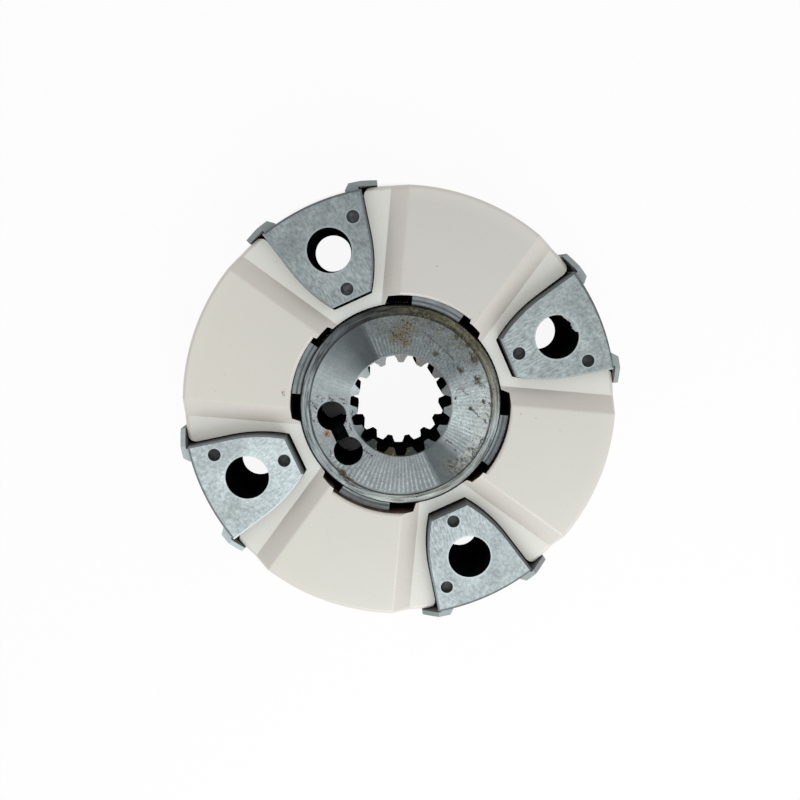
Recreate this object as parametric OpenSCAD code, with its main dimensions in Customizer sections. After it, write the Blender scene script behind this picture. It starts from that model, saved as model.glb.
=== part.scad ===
/* [Bolt circle] */
// Diameter of the circle through the four flywheel bolt holes
bolt_circle_d = 165; // [160:0.5:168]
// Bolt hole diameter at the back face, where the bolt head seats
bolt_back_d = 19; // [14:0.5:20]
// Bolt hole diameter at the front face, wider by the casting draft
bolt_front_d = 21.2; // [20:0.1:23]

/* [Outer inserts] */
// Length of an outer insert, from its back face to its machined front
insert_h = 50; // [49:0.5:54]
// Distance from the coupling axis to the insert's straight inner edge
insert_in_x = 58; // [57.5:0.1:59]
// Radius of the insert's outer wall
insert_out_r = 105.2; // [104.8:0.1:105.3]
// Angle of the straight flank to the insert's own axis
flank_a = 12.8; // [12:0.1:13.5]
// Radius of the curve that blends the flank in to the inner edge
flank_r = 70; // [60:1:80]
// Distance along the insert's axis at which the flank turns straight
flank_x = 82; // [80:0.5:84]
// Half width of the insert at that distance
flank_y = 20.1; // [19.5:0.1:20.4]
// Width and depth of the bevel round the machined front
face_bevel = 0.9; // [0.4:0.1:1.2]
// Diameter of the two blind holes in each front face
dimple_d = 6.2; // [5:0.1:7]
// Depth of the blind holes
dimple_h = 2.6; // [1:0.1:5]
// Radius of the ears that reach round the outside of the lobes
ear_out_r = 109.2; // [108.5:0.1:110]
// Height of the ears over the insert's own corners
ear_h = 47.2; // [44:0.1:49]
// Height of the ears at their tips
ear_tip_h = 40.5; // [36:0.5:44]
// Turn of the first insert in its pocket, which holds it loosely
insert_turn = -1; // [-1:0.1:0.6]

/* [Flexible element] */
// Radius of the element's outer wall
element_r = 106.3; // [105.8:0.1:106.4]
// Radius of the ring that runs round the hub
ring_in_r = 50.2; // [50:0.1:50.6]
// Height of the back face above the floor
element_back_z = 2; // [1:0.5:5]
// Height of the strips beside the lobes, and of the ring
strip_z = 41.5; // [40.5:0.5:43]
// Height of the raised lobes
lobe_z = 46.5; // [45:0.5:48]
// Angle between a lobe's bevels and the lobe's axis
bevel_a = 15.6; // [14:0.1:17]
// Sideways distance from the axis to a bevel's upper edge
bevel_top = 5; // [4:0.1:6.5]
// Sideways distance from the axis to a bevel's lower edge
bevel_foot = 13.7; // [12:0.1:14]
// Rounding of the lobes' upper edges along the bevels
bevel_round = 3; // [1:0.5:4]
// Rounding of the outer edges
rim_round = 2.2; // [1:0.1:3]
// Rounding of the strips' outer corners
corner_r = 4.5; // [3:0.1:6]
// Gap between an insert and the walls of its pocket
pocket_gap = 0.6; // [0.4:0.05:0.8]
// Distance from the axis to the pocket's inner wall
pocket_in_x = 55.9; // [55.5:0.1:56.2]
// Radius of the notch that clears each inner insert's foot
notch_r = 54; // [53.5:0.1:54.5]
// Half width of the notch
notch_half_w = 24.7; // [22:0.1:25]
// Radius of the notch beyond the bevel at its narrower end
notch_end_r = 52.6; // [52:0.1:54]
// Height of the ledge that closes the notch below
notch_floor_z = 9; // [6:0.5:14]

/* [Inner inserts] */
// Height of an inner insert
inner_h = 39.5; // [38:0.5:40]
// Radius of the inner insert's outer end
inner_out_r = 92; // [90:0.5:94]
// Half width of the foot, where it sits on the hub
foot_half_w = 12.8; // [12:0.1:13.5]

/* [Hub] */
// Outside diameter of the hub
hub_d = 99; // [98:0.1:99.2]
// Height of the hub's back face
hub_back_z = 6; // [4:0.5:10]
// Height of the hub's front face
hub_front_z = 44; // [43:0.5:46]
// Radius at which the turned front face ends
face_out_r = 44.4; // [43:0.1:45]
// Diameter of the two bores of the clamping slot
slot_bore_d = 14.5; // [13:0.1:15]
// Radius on which those two bores lie
slot_bore_r = 34.3; // [34:0.1:35]
// Half of the angle between them
slot_half_a = 16.4; // [16:0.1:17.5]
// Width of the neck that joins them
slot_neck_w = 7; // [5:0.5:8]

/* [Spline] */
// Number of spline teeth
teeth = 15; // [15:1:15]
// Module of the spline
spline_m = 3; // [3:0.5:3]
// Diameter at the bottom of the tooth spaces
spline_root_d = 50; // [50:0.1:50.4]
// Diameter over the tooth tips
spline_tip_d = 42.8; // [42.6:0.1:43.4]
// Pressure angle
spline_pa = 20; // [20:1:20]
// Width of a tooth on the reference circle
tooth_w = 3.5; // [3:0.05:3.7]
// Rounding of the corners at the tooth tips
tooth_round = 0.7; // [0.2:0.1:0.8]
// Diameter of the countersinks that bevel the tooth ends
countersink_d = 51.2; // [50.5:0.1:53]
// Depth of the countersinks at the tooth tips
countersink_h = 1.3; // [0.5:0.1:3]
// Turn of the tooth ring about the coupling's axis
spline_turn = 14.4; // [0:0.1:24]

/* [Fasteners] */
// Thread diameter of the radial insert screws
screw_d = 14; // [12:1:14]
// Head diameter of the radial insert screws
screw_head_d = 21; // [18:1:21]
// Height of the radial screws' axes
screw_z = 21; // [20:0.5:22]
// Radius at which a radial screw's head seats
screw_seat_r = 76; // [74:0.5:77]
// Diameter of the access holes in the lobes and of the counterbores
access_d = 24; // [23:0.5:24]
// Diameter of the spring pins between hub and inner inserts
pin_d = 6; // [5:0.5:7]
// Height of the spring pins' axes
pin_z = 35.6; // [35.5:0.1:35.8]
// Thread diameter of the hub's clamping screws
clamp_d = 10; // [8:1:10]

/* [Hidden] */
$fn = 96;

// Extra length that carries a cutter past the face it opens
past = 1;
bolt_r = bolt_circle_d / 2;
hub_r = hub_d / 2;
// Outer inserts lie halfway between the lobes, which lie on the X and Y axes
insert_a = 45;
// The clamping slot shares its direction with the third outer insert
slot_a = 225;
spline_ref_r = teeth * spline_m / 2;
// Small gap that stands for a thread or a seat
seat_gap = 0.05;
// Height up to which the bolt hole is cylindrical
bolt_straight_h = 16;
// Places of the two blind holes, from the coupling axis
dimple_in = [62.6, 0];
dimple_out = [92.1, -16.7];
// Angles of the ears, from the insert's axis
ear_foot_a = 9.9;
ear_top_a = 11.1;
ear_corner_a = 14.2;
ear_tip_a = 18.4;
// Inner radius of the ear where it hangs past the insert's flank
ear_in_r = 106.8;
// Centre of the flank's blend curve
blend_c = [flank_x + flank_r * sin(flank_a), flank_y - flank_r * cos(flank_a)];
// Heights of the clamping screws
clamp_z = [15, 31];
// Colours as seen on the real coupling
plastic_c = [0.84, 0.83, 0.79];
cast_c = [0.66, 0.69, 0.71];
steel_c = [0.56, 0.59, 0.61];
black_c = [0.16, 0.16, 0.17];

// Point where the flank, moved out by grow, turns from curved to straight
function flank_pt(grow) = blend_c + (flank_r + grow) * [-sin(flank_a), cos(flank_a)];

// Distance along direction a from point p to the circle of radius r
function reach(p, a, r) =
    let (u = [cos(a), sin(a)], along = p * u, across = p.x * u.y - p.y * u.x)
    sqrt(r * r - across * across) - along;

// Involute function, in degrees
function inv(a) = tan(a) * 180 / PI - a;

// Angle between a tooth's flank and the radius, at radius r
function flank_slope(r) = acos(spline_ref_r * cos(spline_pa) / r);

// Half angle of a spline tooth at radius r
function tooth_half_a(r) =
    tooth_w / spline_ref_r * 90 / PI + inv(flank_slope(r)) - inv(spline_pa);

function polar(r, a) = r * [cos(a), sin(a)];

// Radius at which the tip's rounding meets a flank that has its slope at radius r
function touch_r(r) = spline_tip_d / 2 + tooth_round * (1 - sin(flank_slope(r)));

// Outline of one spline tooth, its root sunk into the hub's wall
function tooth_outline(steps = 5) =
    let (r0 = spline_tip_d / 2 - 0.2, r1 = spline_root_d / 2 + 0.4)
    concat([for (i = [0:steps]) let (r = r0 + (r1 - r0) * i / steps) polar(r, tooth_half_a(r))],
           [for (i = [steps:-1:0]) let (r = r0 + (r1 - r0) * i / steps) polar(r, -tooth_half_a(r))]);

// Everything on the axis side of one insert flank, bevelled at its upper edge
module flank_body() {
    r = flank_r + face_bevel;
    h = insert_h;
    translate([blend_c.x, blend_c.y, 0]) rotate([0, 0, flank_a]) {
        intersection() {
            rotate_extrude()
                polygon([[0, 0], [r, 0], [r, h - face_bevel], [flank_r, h], [0, h]]);
            translate([-r - past, -r - past, -past]) cube([r + past, 2 * (r + past), h + 2 * past]);
        }
        rotate([90, 0, 90]) linear_extrude(60)
            polygon([[0, 0], [r, 0], [r, h - face_bevel], [flank_r, h], [0, h]]);
    }
}

// The same region as a flat outline, moved out by grow
module flank_area(grow) {
    r = flank_r + grow;
    translate(blend_c) rotate(flank_a) {
        intersection() {
            circle(r = r);
            translate([-r - past, -r - past]) square([r + past, 2 * (r + past)]);
        }
        square([60, r]);
    }
}

// Outer insert without its ears and holes, bevelled round its machined front
module insert_blank() {
    x0 = insert_in_x - face_bevel;
    x1 = insert_out_r + past;
    intersection() {
        flank_body();
        mirror([0, 1, 0]) flank_body();
        translate([0, 50, 0]) rotate([90, 0, 0]) linear_extrude(100)
            polygon([[x0, 0], [x1, 0], [x1, insert_h], [insert_in_x, insert_h], [x0, insert_h - face_bevel]]);
        cylinder(r = insert_out_r, h = insert_h);
    }
}

// Ring sector between two radii and two angles
module sector(r0, r1, a0, a1, z0, z1) {
    far = r1 * 1.1;
    intersection() {
        translate([0, 0, z0]) difference() {
            cylinder(r = r1, h = z1 - z0);
            translate([0, 0, -past]) cylinder(r = r0, h = z1 - z0 + 2 * past);
        }
        translate([0, 0, z0]) linear_extrude(z1 - z0)
            polygon([[0, 0], polar(far, a0), polar(far, (a0 + a1) / 2), polar(far, a1)]);
    }
}

// Ear on the insert's upper side: it springs from the outer wall and hooks past the flank
module ear() {
    run = ear_out_r * (ear_tip_a - ear_corner_a) * PI / 180;
    fall = (ear_h - ear_tip_h) / run;
    difference() {
        union() {
            sector(insert_out_r - 2, ear_out_r, ear_foot_a, ear_corner_a - 0.8, 0, ear_h);
            sector(ear_in_r, ear_out_r, ear_corner_a - 1, ear_tip_a, 0, ear_h);
        }
        rotate([0, 0, ear_top_a])
            translate([ear_out_r, 0, -past])
                linear_extrude(insert_h)
                    polygon([[0.6, 0.6], [-ear_out_r + insert_out_r, -3.2], [-ear_out_r + insert_out_r, -8],
                             [0.6, -8]]);
        rotate([0, 0, ear_corner_a])
            translate([(insert_out_r + ear_in_r) / 2, 0, 0])
                rotate([90, 0, 90])
                    linear_extrude(ear_out_r - insert_out_r)
                        polygon([[-past, ear_h + past * fall], [run + past, ear_tip_h - past * fall],
                                 [run + past, ear_h + 2 * past], [-past, ear_h + 2 * past]]);
    }
}

module outer_insert(turn) {
    color(cast_c)
    translate([bolt_r, 0, 0]) rotate([0, 0, turn]) translate([-bolt_r, 0, 0])
    difference() {
        union() {
            insert_blank();
            ear();
            mirror([0, 1, 0]) ear();
        }
        translate([bolt_r, 0, -past]) cylinder(d = bolt_back_d, h = bolt_straight_h + 2 * past);
        translate([bolt_r, 0, bolt_straight_h])
            cylinder(d1 = bolt_back_d, d2 = bolt_front_d, h = insert_h - bolt_straight_h);
        for (p = [dimple_in, dimple_out])
            translate([p.x, p.y, insert_h - dimple_h]) cylinder(d = dimple_d, h = dimple_h + past);
    }
}

// Ring turned about the axis with rounded outer edges
module round_ring(in_r, out_r, z0, z1, round) {
    rotate_extrude() difference() {
        translate([in_r, z0]) square([out_r - in_r, z1 - z0]);
        for (side = [0, 1])
            translate([out_r - round, side == 0 ? z0 + round : z1 - round])
                difference() {
                    translate([0, side == 0 ? -round - past : 0]) square(round + past);
                    circle(r = round);
                }
    }
}

// Prism that holds everything inside one bevelled side of a lobe
module lobe_side(steps = 5) {
    low = strip_z - past;
    slope = atan((lobe_z - strip_z) / (bevel_foot - bevel_top));
    centre = [bevel_top - bevel_round * tan(slope / 2), lobe_z - bevel_round];
    arc = [for (i = [0:steps]) centre + polar(bevel_round, 90 - slope * i / steps)];
    rotate([0, 0, bevel_a])
        translate([-20, 0, 0])
            rotate([90, 0, 90])
                linear_extrude(150)
                    polygon(concat([[-150, lobe_z]], arc,
                                   [[bevel_foot + past / tan(slope), low], [-150, low]]));
}

// Cutter that carries the rim's rounding up along a bevel
module bevel_rim_cut() {
    slope = atan((lobe_z - strip_z) / (bevel_foot - bevel_top));
    across = (bevel_foot + bevel_top) / 2;
    rotate([0, 0, bevel_a + asin(across / element_r)])
        translate([element_r, 0, (lobe_z + strip_z) / 2])
            rotate([90 - slope, 0, 0])
                linear_extrude(16, center = true) difference() {
                    translate([-rim_round, -rim_round]) square(rim_round + past);
                    translate([-rim_round, -rim_round]) circle(r = rim_round);
                }
}

module lobe() {
    difference() {
        intersection() {
            round_ring(ring_in_r, element_r, strip_z - 8, lobe_z, rim_round);
            lobe_side();
            mirror([0, 1, 0]) lobe_side();
            translate([0, -60, 0]) cube([120, 120, 60]);
        }
        bevel_rim_cut();
        mirror([0, 1, 0]) bevel_rim_cut();
    }
}

// Cutter that rounds the corner between a pocket's flank and the rim
module corner_cut() {
    grow = face_bevel + pocket_gap;
    start = flank_pt(grow + corner_r);
    centre = start + reach(start, flank_a, element_r - corner_r) * [cos(flank_a), sin(flank_a)];
    to_flank = (corner_r + 3) * [sin(flank_a), -cos(flank_a)];
    to_rim = (corner_r + 3) * centre / norm(centre);
    translate([0, 0, -past]) linear_extrude(lobe_z + 2 * past) difference() {
        polygon([centre, centre + to_flank, centre + to_flank + to_rim, centre + to_rim]);
        translate(centre) circle(r = corner_r);
    }
}

module outer_pocket() {
    translate([0, 0, -past]) linear_extrude(lobe_z + 2 * past) intersection() {
        flank_area(face_bevel + pocket_gap);
        mirror([0, 1]) flank_area(face_bevel + pocket_gap);
        translate([pocket_in_x, -50]) square([60, 100]);
    }
    corner_cut();
    mirror([0, 1, 0]) corner_cut();
}

// Outline of an inner insert, grown on all sides by grow
module inner_outline(grow) {
    w0 = foot_half_w - (50 - 40) * tan(bevel_a) + grow / cos(bevel_a);
    w1 = foot_half_w + (110 - 50) * tan(bevel_a) + grow / cos(bevel_a);
    intersection() {
        polygon([[40, -w0], [110, -w1], [110, w1], [40, w0]]);
        circle(r = inner_out_r + grow);
    }
}

// Cutter for the notch above an inner insert's foot, flared at the lobe's edge
module notch() {
    lip = 1.6;
    end_y = 16.8;
    intersection() {
        rotate_extrude() difference() {
            translate([0, notch_floor_z]) square([notch_r + lip, lobe_z + past - notch_floor_z]);
            translate([notch_r, 0]) square([lip + past, lobe_z - lip]);
            translate([notch_r + lip, lobe_z - lip]) circle(r = lip);
        }
        translate([30, -end_y, 0]) cube([40, notch_half_w + end_y, 60]);
    }
    intersection() {
        translate([0, 0, notch_floor_z]) cylinder(r = notch_end_r, h = lobe_z);
        translate([30, 1 - notch_half_w, 0]) cube([40, notch_half_w, 60]);
    }
}

module flexible_element() {
    color(plastic_c)
    difference() {
        union() {
            round_ring(ring_in_r, element_r, element_back_z, strip_z, rim_round);
            for (k = [0:3]) rotate([0, 0, 90 * k]) lobe();
        }
        for (k = [0:3]) {
            rotate([0, 0, insert_a + 90 * k]) outer_pocket();
            rotate([0, 0, 90 * k]) {
                notch();
                translate([0, 0, -past]) linear_extrude(inner_h + 0.3 + past) inner_outline(0.5);
                translate([80, 0, screw_z]) rotate([0, 90, 0]) cylinder(d = access_d, h = 40);
            }
        }
    }
}

module inner_insert() {
    color(cast_c)
    difference() {
        linear_extrude(inner_h) inner_outline(0);
        translate([0, 0, -past]) cylinder(r = hub_r + seat_gap, h = inner_h + 2 * past);
        translate([40, 0, screw_z]) rotate([0, 90, 0]) cylinder(d = screw_d + 1, h = 60);
        translate([screw_seat_r, 0, screw_z]) rotate([0, 90, 0]) cylinder(d = access_d, h = 40);
        translate([40, 0, pin_z]) rotate([0, 90, 0]) cylinder(d = pin_d + 2 * seat_gap, h = hub_r + 8 - 40);
    }
}

// Profile of the hub: chamfered back edge, turned groove and steps round the front face
module hub_profile() {
    z = hub_front_z;
    polygon([[0, hub_back_z], [hub_r - 1.5, hub_back_z], [hub_r, hub_back_z + 1.5], [hub_r, z - 1.5],
             [hub_r - 0.6, z - 0.8], [face_out_r + 2.4, z - 0.5], [face_out_r + 2.4, z - 0.3],
             [face_out_r + 1.6, z - 0.3], [face_out_r + 1.6, z - 0.1], [face_out_r + 0.8, z - 0.1],
             [face_out_r + 0.8, z - 0.6], [face_out_r, z - 0.6], [face_out_r, z], [0, z]]);
}

// Cutter that rounds one corner of a tooth's tip
module tip_corner_cut() {
    touch = touch_r(touch_r(spline_tip_d / 2 + tooth_round));
    half = tooth_half_a(touch);
    into = polar(1, half - 90 + flank_slope(touch));
    centre = polar(touch, half) + tooth_round * into;
    side = (tooth_round + 0.3) * into;
    tip = (tooth_round + 0.3) * centre / norm(centre);
    difference() {
        polygon([centre, centre - side, centre - side - tip, centre - tip]);
        translate(centre) circle(r = tooth_round);
    }
}

// Cutter for the splined bore: tip circle, the spaces between the teeth, and countersunk ends
module spline_bore() {
    tip_r = spline_tip_d / 2;
    widening = (countersink_d / 2 - tip_r) / countersink_h;
    translate([0, 0, hub_back_z - past]) linear_extrude(hub_front_z - hub_back_z + 2 * past) {
        circle(r = tip_r);
        difference() {
            circle(d = spline_root_d);
            for (k = [0:teeth - 1]) rotate(spline_turn + 360 / teeth * k) polygon(tooth_outline());
        }
        for (k = [0:teeth - 1], side = [0, 1])
            rotate(spline_turn + 360 / teeth * k) mirror([0, side]) tip_corner_cut();
    }
    for (front = [0, 1])
        translate([0, 0, front == 1 ? hub_front_z : hub_back_z]) mirror([0, 0, 1 - front])
            translate([0, 0, -countersink_h - 0.5])
                cylinder(r1 = tip_r - 0.5 * widening, r2 = tip_r + (countersink_h + 0.5) * widening,
                         h = countersink_h + 1);
}

module clamping_slot() {
    span = slot_bore_r * sin(slot_half_a);
    h = hub_front_z + 2 * past;
    rotate([0, 0, slot_a]) {
        for (side = [-1, 1])
            rotate([0, 0, side * slot_half_a]) translate([slot_bore_r, 0, 0]) cylinder(d = slot_bore_d, h = h);
        translate([slot_bore_r * cos(slot_half_a) - slot_neck_w / 2, -span, 0]) cube([slot_neck_w, 2 * span, h]);
        for (z = clamp_z)
            translate([slot_bore_r, 0, z]) rotate([0, 90, 0]) cylinder(d = clamp_d + 2 * seat_gap, h = 30);
    }
}

module hub() {
    color(steel_c)
    difference() {
        rotate_extrude() hub_profile();
        spline_bore();
        clamping_slot();
        for (k = [0:3]) rotate([0, 0, 90 * k]) {
            translate([screw_seat_r - 45, 0, screw_z]) rotate([0, 90, 0])
                cylinder(d = screw_d + 2 * seat_gap, h = 40);
            translate([hub_r - 8, 0, pin_z]) rotate([0, 90, 0])
                cylinder(d = pin_d + 2 * seat_gap, h = 20);
        }
    }
}

// Socket head screw, its seat at x = 0 and its tip at -length
module socket_screw(d, head_d, head_h, length, hex) {
    edge = 0.8;
    rotate([0, 90, 0]) difference() {
        union() {
            translate([0, 0, 1 - length]) cylinder(d = d, h = length - 1);
            translate([0, 0, -length]) cylinder(d1 = d - 2, d2 = d, h = 1);
            cylinder(d = head_d, h = head_h - edge);
            translate([0, 0, head_h - edge]) cylinder(d1 = head_d, d2 = head_d - 2 * edge, h = edge);
        }
        translate([0, 0, head_h / 2]) cylinder(d = hex / cos(30), h = head_h, $fn = 6);
    }
}

module insert_screw() {
    color(black_c)
    translate([screw_seat_r, 0, screw_z])
        socket_screw(screw_d, screw_head_d, screw_d, 44, 12);
}

// Slotted spring pin, half in the hub and half in the inner insert
module spring_pin() {
    color(steel_c)
    translate([hub_r - 7.8, 0, pin_z]) rotate([0, 90, 0]) difference() {
        cylinder(d = pin_d, h = 15.6);
        translate([0, 0, -past]) cylinder(d = pin_d - 2.4, h = 20);
        translate([0, -0.6, -past]) cube([pin_d, 1.2, 20]);
    }
}

// Set screw that bears on the wall between the slot and the spline
module clamp_screw(z) {
    neck_x = slot_bore_r * cos(slot_half_a) - slot_neck_w / 2;
    color(black_c)
    rotate([0, 0, slot_a]) translate([neck_x, 0, z]) rotate([0, 90, 0]) difference() {
        union() {
            cylinder(d1 = clamp_d - 3, d2 = clamp_d, h = 1.5);
            translate([0, 0, 1.5]) cylinder(d = clamp_d, h = 15.5);
        }
        translate([0, 0, 11]) cylinder(d = 5 / cos(30), h = 10, $fn = 6);
    }
}

hub();
flexible_element();
rotate([0, 0, insert_a]) outer_insert(insert_turn);  // outer_insert_1
rotate([0, 0, insert_a + 90]) outer_insert(0);  // outer_insert_2
rotate([0, 0, insert_a + 180]) outer_insert(0);  // outer_insert_3
rotate([0, 0, insert_a + 270]) outer_insert(0);  // outer_insert_4
inner_insert();  // inner_insert_1
rotate([0, 0, 90]) inner_insert();  // inner_insert_2
rotate([0, 0, 180]) inner_insert();  // inner_insert_3
rotate([0, 0, 270]) inner_insert();  // inner_insert_4
insert_screw();  // insert_screw_1
rotate([0, 0, 90]) insert_screw();  // insert_screw_2
rotate([0, 0, 180]) insert_screw();  // insert_screw_3
rotate([0, 0, 270]) insert_screw();  // insert_screw_4
spring_pin();  // spring_pin_1
rotate([0, 0, 90]) spring_pin();  // spring_pin_2
rotate([0, 0, 180]) spring_pin();  // spring_pin_3
rotate([0, 0, 270]) spring_pin();  // spring_pin_4
clamp_screw(clamp_z[0]);  // clamp_screw_1
clamp_screw(clamp_z[1]);  // clamp_screw_2
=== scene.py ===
import math
import random
import bpy
import bmesh
from mathutils import Matrix, Vector


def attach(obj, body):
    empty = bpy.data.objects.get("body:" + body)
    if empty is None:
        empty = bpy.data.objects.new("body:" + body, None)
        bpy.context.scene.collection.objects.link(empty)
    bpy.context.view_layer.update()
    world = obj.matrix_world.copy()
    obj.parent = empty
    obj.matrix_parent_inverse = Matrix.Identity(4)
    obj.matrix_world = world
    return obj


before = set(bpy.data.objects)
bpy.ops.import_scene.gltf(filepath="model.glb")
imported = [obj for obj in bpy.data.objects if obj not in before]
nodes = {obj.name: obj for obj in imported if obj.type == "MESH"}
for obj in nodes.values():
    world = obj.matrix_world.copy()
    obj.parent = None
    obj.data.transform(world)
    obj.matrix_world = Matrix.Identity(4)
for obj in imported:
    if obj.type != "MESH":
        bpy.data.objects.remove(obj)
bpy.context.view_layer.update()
scene = bpy.context.scene

MM = 0.001

# Sizes of the part that the materials follow, in metres: bolt holes and their walls
BOLT_X = 58.34 * MM
BOLT_R = 10.6 * MM
BOLT_WALL_R = 11.2 * MM
# Outer inserts: machined front, its outer edge, where the ears begin, and the blind holes
INSERT_FRONT_Z = 50 * MM
INSERT_EDGE_R = 104.5 * MM
EAR_IN_R = 105.3 * MM
DIMPLE_R = 3.1 * MM
DIMPLE_OUT_R = 104.6 * MM
# Hub: turned face between two radii, and the groove outside it
HUB_FACE_IN = 25.6 * MM
HUB_FACE_OUT = 44.4 * MM
GROOVE_OUT = 45.2 * MM
# Element: outer end of the notches at the inner inserts' feet, and how far out its tint changes
NOTCH_R = 54.5 * MM
ELEMENT_SPAN = 95 * MM

# Camera recovered from the photo: place, directions, and focal length in pixels of the 800 pixel image
CAMERA_PLACE = Vector((-0.03436, 0.05141, 0.4622))
CAMERA_AHEAD = Vector((0.07793, -0.1156, -0.99024))
CAMERA_UP = Vector((-0.34503, 0.92877, -0.13558))
FOCAL_PX = 859.8
IMAGE_PX = 800
SENSOR_MM = 36.0

# Soft light from all round, and a lamp from the lower right of the picture
WORLD_LIGHT = 0.68
LAMP_SIZE = 0.45
LAMP_POWER = 1.6
LAMP_FAR = 0.62
LAMP_AZIMUTH = math.radians(-50)
LAMP_ZENITH = math.radians(50)

FLOOR_SIZE = 6
FLOOR_Z = -0.2 * MM
FLOOR_WHITE = 0.93

# Tool marks on the hub's face: how many go round, and how far each wanders, in turns
TOOL_MARKS = 116
MARK_WANDER = 0.0006

# Stains on the hub's face, each with x, y and radius in mm: thin olive film, the brown patch, thick blots
FILM_SPOTS = (
    (-12.7, 34.3, 9), (-11, 39.7, 9), (-9, 31, 5), (-22, 36, 8), (5, 40, 9), (14.7, 40.1, 8),
    (24.6, 35, 7), (31, 25, 5), (35.5, 23.2, 5), (39.2, 12.4, 6), (42, 2, 7), (41, -9, 8),
    (36, -18, 7), (-18.4, -40.5, 4), (-14, -42.5, 5), (-8, -44.5, 4), (4.0, -25, 4),
    (6.8, 29.3, 3), (25, 18, 3))
BROWN_SPOTS = ((-12.7, 33.0, 7), (-14.6, 30.6, 4), (-9.5, 30, 4), (-10.5, 38, 5))
THICK_SPOTS = (
    (25.7, 34.0, 2.6), (13.5, 41.7, 1.8), (7.0, 29.9, 1.9), (21.6, 27.0, 1.8), (30.5, 25.0, 2.6),
    (20.1, 39.5, 1.8), (37.6, 16.3, 1.4), (32.6, 10.7, 1.3), (-15.5, -41.5, 2.4), (-12, -43.6, 1.8))
# Single dark spots, and the places that have black or red specks
DARK_SPOTS = (
    (23.8, 13.0, 0.6), (33.2, -11.2, 0.6), (27.2, -35.4, 0.6), (23.7, -40.2, 0.6), (31.0, 2.0, 0.4),
    (36.0, 1.0, 0.5), (-40.0, -10.0, 0.5), (-37.0, -11.5, 0.5), (3.5, -23.3, 1.6))
BLACK_SPECK_PLACES = (
    (27, 31, 8), (20, 38, 8), (38, 18, 9), (41, -4, 8), (34, -20, 7), (-12, -41, 8), (-12, 33, 9),
    (20, 26, 5), (24, 13, 3))
RED_SPECK_PLACES = (
    (-39, -15, 4), (-38, -10, 3), (-33, -8, 3), (-27, -9, 3), (-36.5, -21, 3), (-23.5, -17, 4),
    (-21, -22, 2.5), (-8, -29, 4))
# The orange rust spot beside the clamping slot
RUST_X, RUST_Y = -29.2, -25.6
# Scratches and dirt lines on the hub's face, each with its two ends and its width in mm
SCRATCHES = (
    (32.0, 11.2, 38.0, 8.3, 0.5), (33.2, 10.4, 34.3, 10.4, 0.9), (25.4, 17.9, 28.6, 16.4, 0.4),
    (42.1, 10.3, 44.0, 8.3, 0.6), (27.0, -8.2, 30.5, -9.0, 0.5), (37.0, -14.9, 42.5, -15.2, 0.5),
    (41.0, -8.5, 42.4, -10.5, 0.6), (43.4, -3.0, 43.6, -8.0, 0.5), (38.4, -13.5, 41.8, -12.0, 0.5),
    (-18.4, -40.1, -12.5, -42.3, 0.7), (-16.0, -42.5, -9.0, -43.4, 0.5), (-12.2, -46.0, 1.7, -45.4, 0.4),
    (-10.0, -26.7, -4.5, -28.6, 0.6), (-24.6, -33.2, -23.6, -35.6, 0.5), (-42.0, -13.5, -38.4, -15.6, 0.6),
    (-40.8, -18.2, -37.2, -22.7, 0.5), (-34.2, -8.4, -32.3, -8.9, 0.9), (-29.4, -7.4, -26.8, -6.8, 0.5),
    (-21.5, -10.9, -20.6, -13.2, 0.5), (-20.4, -17.2, -19.0, -20.0, 0.6), (19.4, 27.9, 22.0, 25.4, 0.9),
    (24.2, 13.6, 23.6, 12.6, 0.7), (29.4, 26.4, 33.4, 23.2, 0.8), (-2.0, 38.0, 16.0, 30.5, 0.4),
    (22.0, 36.4, 25.5, 33.0, 0.8), (37.2, 16.6, 38.2, 15.6, 0.9), (34.9, -15.4, 38.5, -15.2, 0.6),
    (38.8, -8.0, 41.7, -7.8, 0.6), (42.0, -9.6, 43.6, -6.0, 0.7), (43.2, -5.2, 44.0, -1.1, 0.7),
    (42.4, -12.5, 43.4, -8.1, 0.6), (41.6, -10.5, 43.0, -11.2, 0.7), (40.8, 8.2, 42.6, 7.0, 0.7),
    (40.7, 11.2, 42.8, 10.3, 0.6), (40.6, 16.4, 41.6, 15.4, 0.8), (37.7, -14.5, 38.8, -13.4, 0.7))

# Outer inserts in order: brightness, painted as the light that falls on each, angle of the tool marks, the
# two blind holes in mm, and the brightness of their painted shade
CASTS = (
    (0.36, 50, ((76.8, 53.0), (44.0, 44.5)), 0.07),
    (0.3, 145, ((-53.3, 76.9), (-44.3, 44.3)), 0.13),
    (0.57, 56, ((-76.9, -53.3), (-44.3, -44.3)), 0.06),
    (0.36, 130, ((53.3, -76.9), (44.3, -44.3)), 0.08))

# Casting burr in the first insert's bolt hole: angle in degrees and reach in mm, then its steps
BURR_REACH = ((34, 0.1), (39, 1.9), (48, 2.3), (62, 2.1), (67, 1.2), (80, 1.35), (93, 0.8), (100, 0.1))
BURR_STEPS = 40
BURR_SEED = 7


def make_camera():
    ahead = CAMERA_AHEAD.normalized()
    right = ahead.cross(CAMERA_UP).normalized()
    up = right.cross(ahead).normalized()
    data = bpy.data.cameras.new("camera")
    data.sensor_width = SENSOR_MM
    data.lens = SENSOR_MM * FOCAL_PX / IMAGE_PX
    data.clip_start = 0.01
    data.clip_end = 20
    camera = bpy.data.objects.new("camera", data)
    turn = Matrix((right, up, -ahead)).transposed().to_4x4()
    camera.matrix_world = Matrix.Translation(CAMERA_PLACE) @ turn
    scene.collection.objects.link(camera)
    scene.camera = camera


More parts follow.
